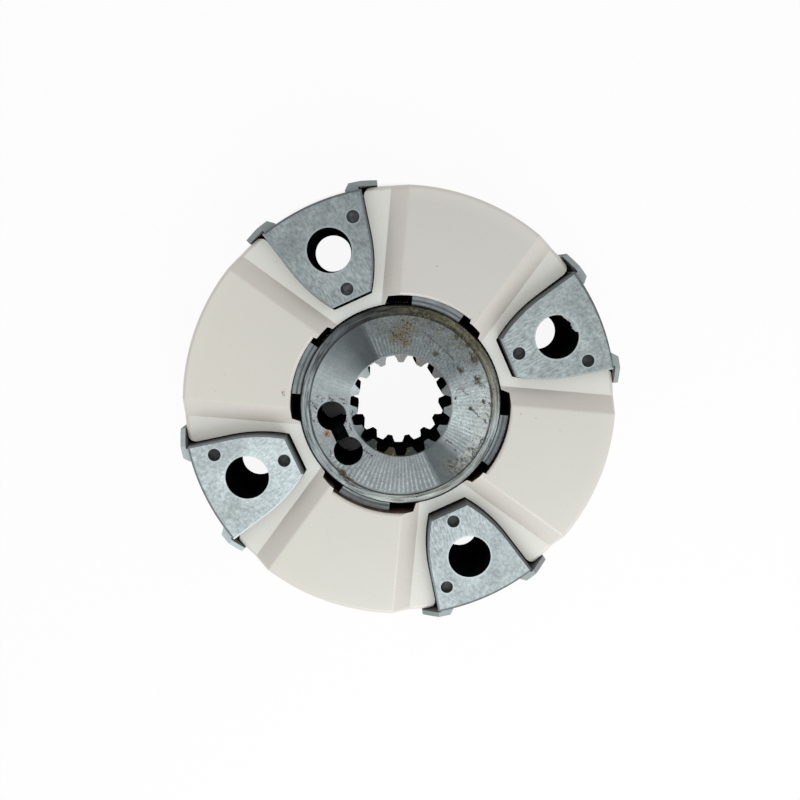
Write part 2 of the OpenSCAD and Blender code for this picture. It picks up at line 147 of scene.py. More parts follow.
# Material under construction, with short names for the sums that its nodes do
class Tree:
    def __init__(self, name):
        self.mat = bpy.data.materials.new(name)
        self.mat.use_nodes = True
        self.tree = self.mat.node_tree
        self.tree.nodes.clear()
        self.out = self.add("ShaderNodeOutputMaterial")
        self.shader = self.add("ShaderNodeBsdfPrincipled")
        self.link(self.shader.outputs[0], self.out.inputs["Surface"])
        self.point = self.add("ShaderNodeTexCoord").outputs["Object"]
        self.x, self.y, self.z = self.split(self.point)
        normal = self.add("ShaderNodeNewGeometry").outputs["Normal"]
        self.normal_x, self.normal_y, self.up = self.split(normal)

    def add(self, kind, **values):
        node = self.tree.nodes.new(kind)
        for key, value in values.items():
            setattr(node, key, value)
        return node

    def link(self, a, b):
        self.tree.links.new(a, b)

    def feed(self, socket, value):
        if isinstance(value, bpy.types.NodeSocket):
            self.link(value, socket)
        elif isinstance(value, tuple) and len(value) == 3 and socket.type == "RGBA":
            socket.default_value = (*value, 1)
        else:
            socket.default_value = value

    def set(self, **values):
        for key, value in values.items():
            self.feed(self.shader.inputs[key.replace("_", " ")], value)

    def split(self, vector):
        node = self.add("ShaderNodeSeparateXYZ")
        self.link(vector, node.inputs[0])
        return node.outputs[:3]

    def join(self, x, y, z):
        node = self.add("ShaderNodeCombineXYZ")
        for socket, value in zip(node.inputs, (x, y, z)):
            self.feed(socket, value)
        return node.outputs[0]

    def math(self, operation, *values):
        node = self.add("ShaderNodeMath", operation=operation)
        for socket, value in zip(node.inputs, values):
            self.feed(socket, value)
        return node.outputs[0]

    def vector_math(self, operation, a, b):
        node = self.add("ShaderNodeVectorMath", operation=operation)
        self.feed(node.inputs[0], a)
        self.feed(node.inputs["Scale"] if operation == "SCALE" else node.inputs[1], b)
        return node.outputs["Value"] if operation in ("DISTANCE", "DOT_PRODUCT") else node.outputs[0]

    def most(self, *values):
        best = values[0]
        for value in values[1:]:
            best = self.math("MAXIMUM", best, value)
        return best

    def total(self, *values):
        result = values[0]
        for value in values[1:]:
            result = self.math("ADD", result, value)
        return result

    def both(self, *values):
        product = values[0]
        for value in values[1:]:
            product = self.math("MULTIPLY", product, value)
        return product

    def invert(self, value):
        return self.math("SUBTRACT", 1.0, value)

    def rise(self, value, low, high, start=0.0, end=1.0):
        node = self.add("ShaderNodeMapRange")
        for socket, number in zip(node.inputs, (value, low, high, start, end)):
            self.feed(socket, number)
        return node.outputs[0]

    def band(self, value, low, high, soft):
        return self.both(self.rise(value, low - soft, low), self.rise(value, high, high + soft, 1.0, 0.0))

    def radius(self):
        return self.math("SQRT", self.total(self.both(self.x, self.x), self.both(self.y, self.y)))

    # Share of a turn, going round from +X
    def turn(self):
        angle = self.math("ARCTAN2", self.y, self.x)
        return self.math("FRACT", self.math("ADD", self.math("DIVIDE", angle, 2 * math.pi), 1.0))

    # Distance to the nearest bolt hole's axis
    def from_bolt(self):
        folded = self.join(self.math("ABSOLUTE", self.x), self.math("ABSOLUTE", self.y), 0.0)
        return self.vector_math("DISTANCE", folded, (BOLT_X, BOLT_X, 0))

    # Distance, in plan, from a point given in mm
    def away_from(self, x, y):
        node = self.add("ShaderNodeVectorMath", operation="DISTANCE")
        self.link(self.join(self.x, self.y, 0.0), node.inputs[0])
        node.inputs[1].default_value = (x * MM, y * MM, 0)
        return node.outputs["Value"]

    def noise(self, scale, detail=3.0, rough=0.6, vector=None, output=0):
        node = self.add("ShaderNodeTexNoise")
        self.link(vector or self.point, node.inputs["Vector"])
        node.inputs["Scale"].default_value = scale
        node.inputs["Detail"].default_value = detail
        node.inputs["Roughness"].default_value = rough
        return node.outputs[output]

    def specks(self, scale, amount, soft=0.05, detail=2.0):
        return self.rise(self.noise(scale, detail), 1 - amount, 1 - amount + soft)

    def spot(self, x, y, size, soft=0.5):
        return self.rise(self.away_from(x, y), size * MM * (1 - soft), size * MM, 1.0, 0.0)

    # The most of several masks, each joined to the others as soon as its nodes are made. The renderer
    # works in the order of the nodes and has room for few waiting values: past that, a material is black
    def gather(self, masks):
        best = None
        for mask in masks:
            best = mask if best is None else self.math("MAXIMUM", best, mask)
        return best

    def spots(self, places, soft=0.5):
        return self.gather(self.spot(x, y, size, soft) for x, y, size in places)

    # Soft-edged line from one point to another, where point is the place that is coloured
    def stroke(self, x0, y0, x1, y1, width, point):
        run = Vector(((x1 - x0) * MM, (y1 - y0) * MM, 0))
        away = self.vector_math("SUBTRACT", point, Vector((x0 * MM, y0 * MM, 0)))
        share = self.rise(self.vector_math("DOT_PRODUCT", away, run / run.length_squared), 0.0, 1.0)
        gap = self.vector_math("DISTANCE", away, self.vector_math("SCALE", run, share))
        return self.rise(gap, width * MM * 0.4, width * MM, 1.0, 0.0)

    # The place in plan, moved by noise so that lines drawn with it come out ragged
    def shaken(self, amount):
        offset = self.vector_math("SUBTRACT", self.noise(620, 2.0, 0.5, output="Color"), (0.5, 0.5, 0.5))
        small = self.vector_math("SCALE", offset, amount * MM)
        moved = self.add("ShaderNodeVectorMath", operation="ADD")
        self.link(self.join(self.x, self.y, 0.0), moved.inputs[0])
        self.link(small, moved.inputs[1])
        return moved.outputs[0]

    # Colour ramp, whose first two stops are the outermost
    def ramp(self, factor, stops):
        node = self.add("ShaderNodeValToRGB")
        band = node.color_ramp
        for index, (place, color) in enumerate(stops):
            if index < 2:
                stop = band.elements[index]
                stop.position = place
            else:
                stop = band.elements.new(place)
            stop.color = (*color, 1)
        self.link(factor, node.inputs[0])
        return node.outputs[0]

    def mix(self, factor, a, b, blend="MIX"):
        node = self.add("ShaderNodeMix", data_type="RGBA", blend_type=blend)
        sockets = [s for s in node.inputs if s.enabled]
        for socket, value in zip(sockets, (factor, a, b)):
            self.feed(socket, value)
        return [s for s in node.outputs if s.enabled][0]

    def bump(self, height, depth):
        node = self.add("ShaderNodeBump")
        node.inputs["Distance"].default_value = depth
        self.link(height, node.inputs["Height"])
        self.link(node.outputs[0], self.shader.inputs["Normal"])


def grey(value, warm=0.0):
    return (value * (1 + warm), value, value * (1 - warm))


def cool(value):
    return (value * 0.9, value * 1.03, value * 1.05)


def tinted(tint, stops):
    return [(place, tint(value)) for place, value in stops]


# Gives a node a material, and others to those of its faces that pass a test
def paint(node_name, mat, *others):
    mesh = nodes[node_name].data
    mesh.materials.clear()
    mesh.materials.append(mat)
    for index, (other, wanted) in enumerate(others):
        mesh.materials.append(other)
        for face in mesh.polygons:
            if wanted(face.center, face.normal):
                face.material_index = index + 1


# Turned face of the hub: light and dark sectors painted as its reflection, radial tool marks drawn as light
# lines that are strongest in the bright sectors, and grain
def hub_face(t, r, turn):
    # Painted reflection: light and dark sectors going round the face
    tone = t.ramp(turn, tinted(cool, (
        (0.0, 0.41), (1.0, 0.4), (0.09, 0.41), (0.152, 0.19), (0.37, 0.185), (0.381, 0.088), (0.412, 0.1),
        (0.45, 0.22), (0.505, 0.43), (0.58, 0.37), (0.68, 0.24), (0.8, 0.27), (0.875, 0.25), (0.884, 0.12),
        (0.93, 0.135), (0.948, 0.22), (0.972, 0.31))))
    wander = t.both(t.rise(t.noise(60, 2.0), 0.3, 0.7, -1.0, 1.0), MARK_WANDER)
    mark = t.math("SINE", t.both(t.total(turn, wander), 2 * math.pi * TOOL_MARKS))
    mark = t.rise(mark, 0.0, 0.95)
    # The tool marks are real; their strength follows the painted bright sectors
    strength = t.ramp(turn, tinted(grey, (
        (0.0, 0.55), (1.0, 0.55), (0.1, 0.3), (0.14, 0.04), (0.22, 0.18), (0.36, 0.3), (0.37, 0.45),
        (0.381, 0.0), (0.47, 0.0), (0.5, 0.25), (0.54, 0.02), (0.64, 0.02), (0.66, 0.5), (0.872, 0.7),
        (0.882, 0.0), (0.938, 0.0), (0.955, 0.4))))
    at_foot = t.band(turn, 0.66, 0.88, 0.01)
    strength = t.both(strength, t.invert(t.both(at_foot, t.rise(r, 27 * MM, 40 * MM, 0.55, 0.0))))
    broken = t.rise(t.noise(700, 3.0), 0.36, 0.6, 0.25, 1.0)
    reach = t.band(r, HUB_FACE_IN + 0.4 * MM, HUB_FACE_OUT - 1.4 * MM, 0.9 * MM)
    short = t.both(t.band(turn, 0.16, 0.37, 0.01), t.rise(r, 34 * MM, 37 * MM))
    in_marks = t.both(reach, broken, strength, t.invert(short), mark)
    color = t.mix(t.both(in_marks, 0.85), tone, cool(0.6), "SCREEN")
    cloud = t.noise(120, 4.0)
    color = t.mix(0.55, color, t.ramp(cloud, [(0.25, grey(0.62)), (0.75, grey(1.15))]), "MULTIPLY")
    coarse = t.ramp(turn, tinted(grey, (
        (0.0, 0.6), (1.0, 0.6), (0.25, 0.75), (0.37, 0.6), (0.385, 0.15), (0.46, 0.2), (0.6, 0.4),
        (0.875, 0.45), (0.885, 0.2), (0.94, 0.3))))
    grain = t.ramp(t.noise(1100, 3.0, 0.7), [(0.36, grey(0.5, 0.04)), (0.62, grey(1.3))])
    color = t.mix(coarse, color, grain, "MULTIPLY")
    edge_line = t.both(t.stroke(-20.3, 22.6, -29.6, 32.8, 0.45, t.point), broken)
    return t.mix(t.both(edge_line, 0.7), color, cool(0.38)), in_marks, cloud


# Rim outside the face: its tone round the rim painted as light and shade, brownish in places, with fine rings
# and painted shade as dark lines at the groove and the outer edge
def hub_rim(t, r, turn):
    # Painted light and shade going round the rim
    tone = t.ramp(turn, [
        (0.0, cool(0.32)), (1.0, cool(0.28)), (0.08, (0.25, 0.265, 0.23)), (0.16, (0.12, 0.118, 0.082)),
        (0.3, (0.062, 0.062, 0.045)), (0.4, cool(0.075)), (0.46, cool(0.19)), (0.54, cool(0.35)),
        (0.72, cool(0.29)), (0.8, (0.29, 0.32, 0.3)), (0.9, (0.24, 0.26, 0.24))])
    streak = t.noise(1.0, 4.0, 0.75, t.join(t.both(r, 760.0), t.both(turn, 16.0), 0.0))
    rings = t.ramp(streak, [(0.4, grey(0.25, 0.05)), (0.5, grey(0.85)), (0.6, grey(1.3))])
    tone = t.mix(0.9, tone, rings, "MULTIPLY")
    # Painted shade: dark lines in the groove and at the outer edge
    groove_and_edge_shade = t.most(t.band(r, HUB_FACE_OUT, GROOVE_OUT, 0.1 * MM), t.rise(r, 48.9 * MM, 49.3 * MM))
    return t.mix(t.both(groove_and_edge_shade, 0.7), tone, grey(0.035)), streak


# Bevelled ends of the spline's teeth, their tone round the bore painted as light and shade, with dark and
# light specks
def tooth_ends(t, turn):
    # Painted light and shade going round the tooth ends
    tone = t.ramp(turn, [
        (0.0, cool(0.22)), (1.0, cool(0.22)), (0.06, cool(0.24)), (0.14, grey(0.12, 0.02)),
        (0.3, grey(0.12, 0.03)), (0.42, cool(0.17)), (0.5, cool(0.36)), (0.62, cool(0.22)),
        (0.69, cool(0.04)), (0.78, (0.05, 0.045, 0.022)), (0.86, cool(0.045)), (0.94, cool(0.13))])
    tone = t.mix(t.both(t.specks(1000, 0.42, 0.08), 0.6), tone, (0.05, 0.045, 0.03))
    return t.mix(t.both(t.specks(900, 0.4, 0.08, 3.0), 0.35), tone, cool(0.4))


# Olive and brown films in flakes, over the hub's own colour
def hub_films(t, r, turn, color):
    clump = t.rise(t.noise(260, 2.0), 0.4, 0.6)
    flake = t.noise(720, 3.0, 0.65)
    film = t.spots(FILM_SPOTS, 0.95)
    grain = t.both(t.rise(flake, 0.49, 0.54), clump)
    ring_film = t.both(t.band(turn, 0.1, 0.28, 0.05), t.rise(r, 36 * MM, 41 * MM))
    stained = t.most(film, t.both(ring_film, 0.7))
    olive = t.mix(t.rise(t.noise(1300, 2.0), 0.35, 0.65), (0.09, 0.085, 0.048), (0.235, 0.24, 0.165))
    color = t.mix(t.both(stained, grain, 0.85), color, olive)
    dark_flake = t.both(t.rise(flake, 0.45, 0.41), clump)
    color = t.mix(t.both(stained, dark_flake), color, (0.04, 0.035, 0.019))
    rightward = t.most(t.rise(turn, 0.1, 0.05), t.rise(turn, 0.9, 0.95))
    pale = t.both(t.band(r, 39 * MM, 43.8 * MM, 1.5 * MM), rightward)
    color = t.mix(t.both(pale, t.rise(t.noise(520, 3.0), 0.45, 0.6), 0.6), color, (0.5, 0.5, 0.46))
    deep = t.spots(BROWN_SPOTS, 0.7)
    brown = t.mix(t.rise(t.noise(1000, 2.0), 0.4, 0.6), (0.07, 0.06, 0.03), (0.24, 0.225, 0.155))
    brown = t.mix(t.rise(t.noise(640, 2.0), 0.57, 0.64), brown, (0.15, 0.085, 0.035))
    color = t.mix(t.both(deep, t.rise(flake, 0.44, 0.52)), color, brown)
    color = t.mix(t.both(deep, t.rise(flake, 0.44, 0.4)), color, (0.03, 0.022, 0.01))
    thick = t.spots(THICK_SPOTS, 0.6)
    color = t.mix(t.both(thick, t.rise(flake, 0.42, 0.48)), color, (0.04, 0.037, 0.018))
    color = t.mix(t.both(thick, t.rise(flake, 0.55, 0.6)), color, (0.09, 0.088, 0.053))
    return color, film, grain, deep, thick


# Orange rust with a dark middle, then scratches, spots and specks, over the hub's own colour
def hub_dirt(t, color, shaken):
    gap = t.vector_math("DISTANCE", shaken, (RUST_X * MM, RUST_Y * MM, 0))
    rust = t.both(t.rise(gap, 1.5 * MM, 2.3 * MM, 1.0, 0.0), t.rise(t.noise(1200, 2.0), 0.36, 0.52))
    orange = t.mix(t.rise(t.noise(900, 2.0), 0.42, 0.58), (0.3, 0.12, 0.04), (0.3, 0.19, 0.05))
    color = t.mix(t.both(rust, 0.85), color, orange)
    color = t.mix(t.rise(gap, 0.5 * MM, 1.1 * MM, 0.8, 0.0), color, (0.09, 0.055, 0.02))
    scratched = t.gather(t.stroke(*scratch, shaken) for scratch in SCRATCHES)
    speckled = t.rise(t.noise(1500, 2.0), 0.4, 0.5)
    color = t.mix(t.both(scratched, speckled, 0.9), color, (0.045, 0.035, 0.022))
    color = t.mix(t.both(t.spots(DARK_SPOTS, 0.4), 0.8), color, (0.05, 0.045, 0.025))
    black_zone = t.spots(BLACK_SPECK_PLACES, 0.8)
    color = t.mix(t.both(black_zone, t.specks(1000, 0.4, 0.04)), color, (0.035, 0.03, 0.022))
    red_zone = t.spots(RED_SPECK_PLACES, 0.8)
    color = t.mix(t.both(red_zone, t.specks(1000, 0.43, 0.04)), color, (0.06, 0.035, 0.028))
    return color, rust, red_zone


# Turned steel of the hub: face, rim and tooth ends, then films, rust and dirt over them
def hub_steel():
    t = Tree("hub_steel")
    r = t.radius()
    turn = t.turn()
    flat = t.rise(t.up, 0.97, 0.995)
    color, in_marks, cloud = hub_face(t, r, turn)
    rim = t.rise(r, HUB_FACE_OUT - 0.1 * MM, HUB_FACE_OUT)
    rim_tone, streak = hub_rim(t, r, turn)
    color = t.mix(rim, color, rim_tone)
    tooth = t.both(t.rise(r, HUB_FACE_IN - 0.3 * MM, HUB_FACE_IN, 1.0, 0.0), t.rise(t.up, 0.5, 0.6))
    color = t.mix(tooth, color, tooth_ends(t, turn))
    shaken = t.shaken(1.8)
    color, film, grain, deep, thick = hub_films(t, r, turn, color)
    color, rust, red_zone = hub_dirt(t, color, shaken)
    matt = t.most(t.both(film, grain), t.both(red_zone, 0.5), t.both(rim, 0.35), rust,
                  t.both(deep, 0.6), t.both(thick, 0.8))
    t.set(Base_Color=color, Metallic=t.rise(matt, 0.0, 1.0, 0.95, 0.3),
          Roughness=t.rise(t.most(matt, t.both(cloud, 0.5)), 0.0, 1.0, 0.32, 0.6))
    t.set(Anisotropic=0.5, Specular_IOR_Level=0.2)
    tangent = t.add("ShaderNodeTangent", direction_type="RADIAL", axis="Z")
    t.link(tangent.outputs[0], t.shader.inputs["Tangent"])
    t.bump(t.total(in_marks, t.total(t.both(streak, flat, 0.5), t.both(grain, film, 0.6))), 0.03 * MM)
    return t.mat


# Machined front of a die-cast insert: mottling, diagonal tool marks, painted highlights as light rims round
# its holes, and painted shade as a dark line along its outer edge
def machined_front(t, r, tone, marks_angle, holes, mottle):
    cloud = t.noise(70, 5.0, 0.65)
    color = t.ramp(cloud, [(0.32, cool(tone * 0.74)), (0.5, cool(tone)), (0.68, cool(tone * 1.28))])
    color = t.mix(0.85, color, t.ramp(mottle, [(0.34, grey(0.6)), (0.66, grey(1.3))]), "MULTIPLY")
    cos, sin = math.cos(marks_angle), math.sin(marks_angle)
    across = t.total(t.both(t.x, -sin), t.both(t.y, cos))
    along = t.total(t.both(t.x, cos), t.both(t.y, sin))
    line = t.noise(1.0, 3.0, 0.6, t.join(t.both(across, 1300.0), t.both(along, 260.0), 0.0))
    line = t.rise(line, 0.4, 0.6)
    lit = t.rise(r, 92 * MM, 66 * MM, 0.15, 1.0)
    color = t.mix(t.both(line, lit, 0.55), color, cool(min(tone * 1.6, 0.7)))
    color = t.mix(t.both(t.invert(line), 0.2), color, cool(tone * 0.5))
    # Painted highlights: light rims round the bolt hole and the blind holes
    hole_rim_highlights = [t.band(t.from_bolt(), BOLT_R, BOLT_R + 0.7 * MM, 0.3 * MM)]
    for x, y in holes:
        hole_rim_highlights.append(t.band(t.away_from(x, y), DIMPLE_R, DIMPLE_R + 0.4 * MM, 0.25 * MM))
    color = t.mix(t.both(t.most(*hole_rim_highlights), 0.45), color, cool(min(tone * 1.5, 0.65)))
    # Painted shade: dark line along the outer edge of the front
    color = t.mix(t.both(t.rise(r, INSERT_EDGE_R - 0.4 * MM, INSERT_EDGE_R), 0.7), color, grey(0.04))
    return t.mix(t.both(t.specks(1500, 0.34, 0.03), 0.5), color, grey(0.12)), line


# Die-cast aluminium of an outer insert: its machined front and bevel, blind holes, ears and back
def cast_aluminium(name, tone, marks_angle, holes, hole_shade_tone):
    t = Tree(name)
    r = t.radius()
    mottle = t.noise(520, 4.0, 0.75)
    front = t.both(t.rise(t.up, 0.95, 0.99),
                   t.rise(t.z, INSERT_FRONT_Z - 0.3 * MM, INSERT_FRONT_Z - 0.1 * MM))
    machined, line = machined_front(t, r, tone, marks_angle, holes, mottle)
    skin = t.mix(t.rise(t.noise(200, 4.0, 0.7), 0.35, 0.65), (0.15, 0.155, 0.14), (0.27, 0.285, 0.27))
    # Painted shade: the cast skin darker low down
    skin = t.mix(t.rise(t.z, 15 * MM, 47 * MM, 0.75, 0.0), skin, (0.03, 0.028, 0.022))
    outside = t.rise(r, INSERT_EDGE_R, INSERT_EDGE_R + 0.5 * MM)
    skin = t.mix(t.both(outside, 0.6), skin, (0.33, 0.35, 0.33))
    ear = t.both(t.rise(r, EAR_IN_R, EAR_IN_R + 0.3 * MM), t.rise(t.up, 0.5, 0.8))
    skin = t.mix(t.both(ear, 0.85), skin, t.mix(mottle, cool(tone * 0.75), cool(tone * 1.15)))
    color = t.mix(front, skin, machined)
    # Bevel round the front, with a painted highlight where it faces -Y, a little toward +X, and painted shade
    # where it faces away
    bevel = t.both(t.band(t.up, 0.4, 0.9, 0.05), t.rise(t.z, 48 * MM, 49 * MM))
    bevel_light_side = t.total(t.both(t.normal_x, 0.35), t.both(t.normal_y, -0.94))
    color = t.mix(bevel, color, t.mix(t.rise(bevel_light_side, -0.3, 0.3), cool(tone * 0.4), cool(tone * 1.15)))
    # Painted shade: the bottoms of the blind holes dark and patchy
    sunk = t.both(t.rise(r, DIMPLE_OUT_R, DIMPLE_OUT_R - 0.5 * MM), t.rise(t.up, 0.9, 0.95),
                  t.band(t.z, 44 * MM, 49 * MM, 0.5 * MM))
    patchy = t.rise(t.noise(420, 2.0), 0.35, 0.65)
    color = t.mix(sunk, color, t.mix(patchy, cool(hole_shade_tone * 0.3), cool(hole_shade_tone)))
    t.set(Base_Color=color, Metallic=t.rise(sunk, 0.0, 1.0, 0.85, 0.2),
          Roughness=t.rise(t.most(t.invert(front), t.both(mottle, 0.8)), 0.0, 1.0, 0.34, 0.62))
    t.bump(t.total(t.both(line, front, 0.4), t.both(mottle, 0.8), t.both(t.noise(1500, 2.0), 0.4)), 0.06 * MM)
    return t.mat


# Cast walls of the outer inserts, with painted shade: black down in the pockets, grey at the top and outside
def cast_skin():
    t = Tree("cast_skin")
    grain = t.noise(220, 4.0, 0.7)
    shade = t.rise(t.z, 40 * MM, 49.5 * MM, 0.015, 0.13)
    shade = t.most(shade, t.rise(t.radius(), INSERT_EDGE_R - 0.1 * MM, INSERT_EDGE_R + 0.4 * MM, 0.0, 0.24))
    tint = t.ramp(grain, [(0.3, (0.62, 0.63, 0.6)), (0.7, (1.1, 1.14, 1.1))])
    color = t.mix(1.0, tint, t.join(shade, shade, shade), "MULTIPLY")
    t.set(Base_Color=color, Metallic=0.25, Roughness=t.rise(grain, 0.3, 0.7, 0.5, 0.75))
    t.set(Specular_IOR_Level=0.25)
    t.bump(grain, 0.12 * MM)
    return t.mat


# Painted shade: near-black walls of the bores, the spline's flanks and the clamping slot
def painted_shade_walls():
    t = Tree("painted_shade_walls")
    grain = t.noise(170, 3.0)
    color = t.mix(t.rise(grain, 0.4, 0.7), (0.002, 0.003, 0.0028), (0.008, 0.01, 0.009))
    t.set(Base_Color=color, Metallic=0.0, Roughness=t.rise(grain, 0.3, 0.7, 0.7, 0.9))
    t.set(Specular_IOR_Level=0.0)
    t.bump(grain, 0.03 * MM)
    return t.mat


# Cream-white moulded plastic, glossy, with painted light across it and at the rim, painted shade in pinkish
# grey on the bevels, and painted light making it whitest on the low strips near the hub
def white_plastic():
    t = Tree("element_plastic")
    r = t.radius()
    across = t.total(t.both(t.x, -0.35), t.both(t.y, 0.94))
    # Painted light: lighter toward -Y, darker toward +Y
    base = t.mix(t.rise(across, -ELEMENT_SPAN, ELEMENT_SPAN), (0.7, 0.694, 0.632), (0.615, 0.606, 0.572))
    base = t.mix(t.both(t.noise(22, 2.0), 0.3), base, (0.7, 0.69, 0.63))
    # Painted light: lighter toward -X
    leftward = t.total(t.both(t.x, -0.94), t.both(t.y, -0.35))
    base = t.mix(t.both(t.rise(leftward, 10 * MM, ELEMENT_SPAN), 0.7), base, (0.755, 0.742, 0.655))
    # Painted highlight on the rounded outer rim
    base = t.mix(t.both(t.rise(r, 98 * MM, 105 * MM), 0.3), base, (0.78, 0.77, 0.7))
    # Painted shade, pinkish grey, on the bevels
    bevel = t.band(t.up, 0.75, 0.96, 0.02)
    color = t.mix(t.both(bevel, 0.8), base, (0.7, 0.665, 0.62))
    # Painted light: the low strips lighter, and whitest near the hub
    strip = t.both(t.rise(t.up, 0.97, 0.99), t.rise(t.z, 42.5 * MM, 41.8 * MM))
    color = t.mix(t.both(strip, 0.9), color, (0.79, 0.8, 0.74))
    near_hub = t.both(t.rise(r, NOTCH_R + 6 * MM, NOTCH_R, 0.0, 1.0), t.rise(t.z, 42 * MM, 41 * MM))
    color = t.mix(t.both(near_hub, 0.6), color, (0.86, 0.9, 0.88))
    # Dirt and painted shade, darker low on the walls of the pockets next to the metal
    wall = t.rise(t.math("ABSOLUTE", t.up), 0.35, 0.15)
    low = t.rise(t.z, 44 * MM, 28 * MM)
    pocket_dirt_and_shade = t.both(wall, t.rise(r, NOTCH_R, NOTCH_R + 1 * MM), t.rise(r, 105 * MM, 104 * MM))
    color = t.mix(t.both(pocket_dirt_and_shade, low, 0.8), color, (0.14, 0.12, 0.1))
    # Marks, one long scratch, a brown stain and dust
    marks = t.spots([(56.6, 17.1, 0.55), (64.3, 17.8, 0.5), (-7.8, 69.6, 0.6)], 0.6)
    color = t.mix(t.both(marks, 0.5), color, (0.2, 0.18, 0.15))
    scratch = t.stroke(-104, -35.3, -50, -19, 0.4, t.point)
    color = t.mix(t.both(scratch, t.rise(t.noise(60, 2.0), 0.4, 0.6), 0.3), color, (0.42, 0.4, 0.36))
    brown = t.both(t.spots([(-56.3, -13.2, 1.2), (-55.5, -14.5, 0.9)], 0.7), t.rise(t.noise(900), 0.4, 0.55))
    color = t.mix(brown, color, (0.2, 0.09, 0.05))
    color = t.mix(t.both(t.specks(420, 0.27, 0.02), 0.3), color, (0.4, 0.37, 0.33))
    t.set(Base_Color=color, Roughness=t.rise(t.noise(60, 3.0), 0.35, 0.65, 0.24, 0.36))
    t.set(Coat_Weight=0.25, Coat_Roughness=0.12)
    t.bump(t.total(t.noise(30, 2.0), t.both(t.noise(600, 2.0), 0.12)), 0.1 * MM)
    return t.mat


# Painted shade on the plastic walls and ledges of the notches: black below, and brown painted light near the
# top on the lit side
def notch_shade_plastic():
    t = Tree("notch_shade_plastic")
    grain = t.noise(140, 4.0)
    color = t.mix(grain, (0.014, 0.01, 0.008), (0.004, 0.003, 0.0025))
    lit = t.both(t.rise(t.y, -18 * MM, -34 * MM), t.rise(t.z, 33 * MM, 42 * MM), t.rise(grain, 0.3, 0.6))
    color = t.mix(lit, color, (0.2, 0.135, 0.095))
    t.set(Base_Color=color, Roughness=t.rise(grain, 0.3, 0.7, 0.6, 0.85))
    t.set(Specular_IOR_Level=0.05)
    t.bump(grain, 0.05 * MM)
    return t.mat


# Dark aluminium of the inner inserts, with painted highlights along the edges of their feet and painted shade
# on their sides
def inner_aluminium():
    t = Tree("inner_aluminium")
    r = t.radius()
    mottle = t.noise(380, 4.0, 0.7)
    color = t.ramp(mottle, tinted(cool, ((0.3, 0.1), (0.5, 0.17), (0.7, 0.26))))
    patchy = t.rise(t.noise(90, 2.0), 0.35, 0.65, 0.3, 1.0)
    # Painted highlights along the edges of the feet
    lit = t.most(t.band(r, 50.3 * MM, 51 * MM, 0.3 * MM),
                 t.band(r, NOTCH_R - 2 * MM, NOTCH_R - 0.6 * MM, 0.5 * MM))
    color = t.mix(t.both(lit, patchy, 0.8), color, cool(0.5))
    # Painted shade on the faces that don't face up
    color = t.mix(t.rise(t.up, 0.6, 0.3), color, cool(0.09))
    t.set(Base_Color=color, Metallic=0.8, Roughness=t.rise(mottle, 0.3, 0.7, 0.4, 0.6))
    t.bump(mottle, 0.06 * MM)
    return t.mat


# Blackened steel of the radial screws
def black_oxide():
    t = Tree("screw_black")
    grain = t.noise(500, 3.0)
    color = t.mix(t.rise(grain, 0.4, 0.65), (0.008, 0.0075, 0.007), (0.03, 0.026, 0.022))
    t.set(Base_Color=color, Metallic=0.3, Roughness=t.rise(grain, 0.3, 0.7, 0.4, 0.6))
    t.set(Specular_IOR_Level=0.4)
    t.bump(grain, 0.03 * MM)
    return t.mat


# Spring steel of the pins
def spring_steel():
    t = Tree("pin_steel")
    grain = t.noise(900, 3.0)
    color = t.mix(grain, cool(0.12), cool(0.3))
    t.set(Base_Color=color, Metallic=0.9, Roughness=t.rise(grain, 0.3, 0.7, 0.3, 0.45))
    t.bump(grain, 0.02 * MM)
    return t.mat


# Torn burr that stands into the bolt hole of the first outer insert
def make_burr(mat):
    rng = random.Random(BURR_SEED)
    start, end = BURR_REACH[0][0], BURR_REACH[-1][0]
    top = INSERT_FRONT_Z - 0.05 * MM
    centre = Vector((BOLT_X, BOLT_X, 0))
    mesh = bmesh.new()
    rows = []
    for step in range(BURR_STEPS + 1):
        angle = start + (end - start) * step / BURR_STEPS
        for (a0, d0), (a1, d1) in zip(BURR_REACH, BURR_REACH[1:]):
            if a0 <= angle <= a1:
                reach = (d0 + (d1 - d0) * (angle - a0) / (a1 - a0)) * MM * rng.uniform(0.8, 1.05)
        thick = rng.uniform(0.5, 0.9) * MM
        outward = Vector((math.cos(math.radians(angle)), math.sin(math.radians(angle)), 0))
        outer = centre + outward * (BOLT_R + 0.05 * MM)
        inner = centre + outward * (BOLT_R - reach)
        heights = (top, top - 0.15 * MM, top - thick, top - 2.2 * thick)
        rows.append([mesh.verts.new((p.x, p.y, z)) for p, z in zip((outer, inner, inner, outer), heights)])
    for before, after in zip(rows, rows[1:]):
        for k in range(4):
            m = (k + 1) % 4
            mesh.faces.new((before[k], before[m], after[m], after[k]))
    mesh.faces.new(rows[0])
    mesh.faces.new(list(reversed(rows[-1])))
    bmesh.ops.recalc_face_normals(mesh, faces=mesh.faces)
    data = bpy.data.meshes.new("bore_burr")
    mesh.to_mesh(data)
    mesh.free()
    burr = bpy.data.objects.new("bore_burr", data)
    scene.collection.objects.link(burr)
    data.materials.append(mat)
    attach(burr, "root")


# Rays that see the white background: the camera's, and those of shiny and clear surfaces
def sees_white(tree):
    path = tree.nodes.new("ShaderNodeLightPath")
    seen = path.outputs["Is Camera Ray"]
    for name in ("Is Glossy Ray", "Is Transmission Ray"):
        either = tree.nodes.new("ShaderNodeMath")
        either.operation = "MAXIMUM"
        tree.links.new(seen, either.inputs[0])
        tree.links.new(path.outputs[name], either.inputs[1])
        seen = either.outputs[0]
    return seen


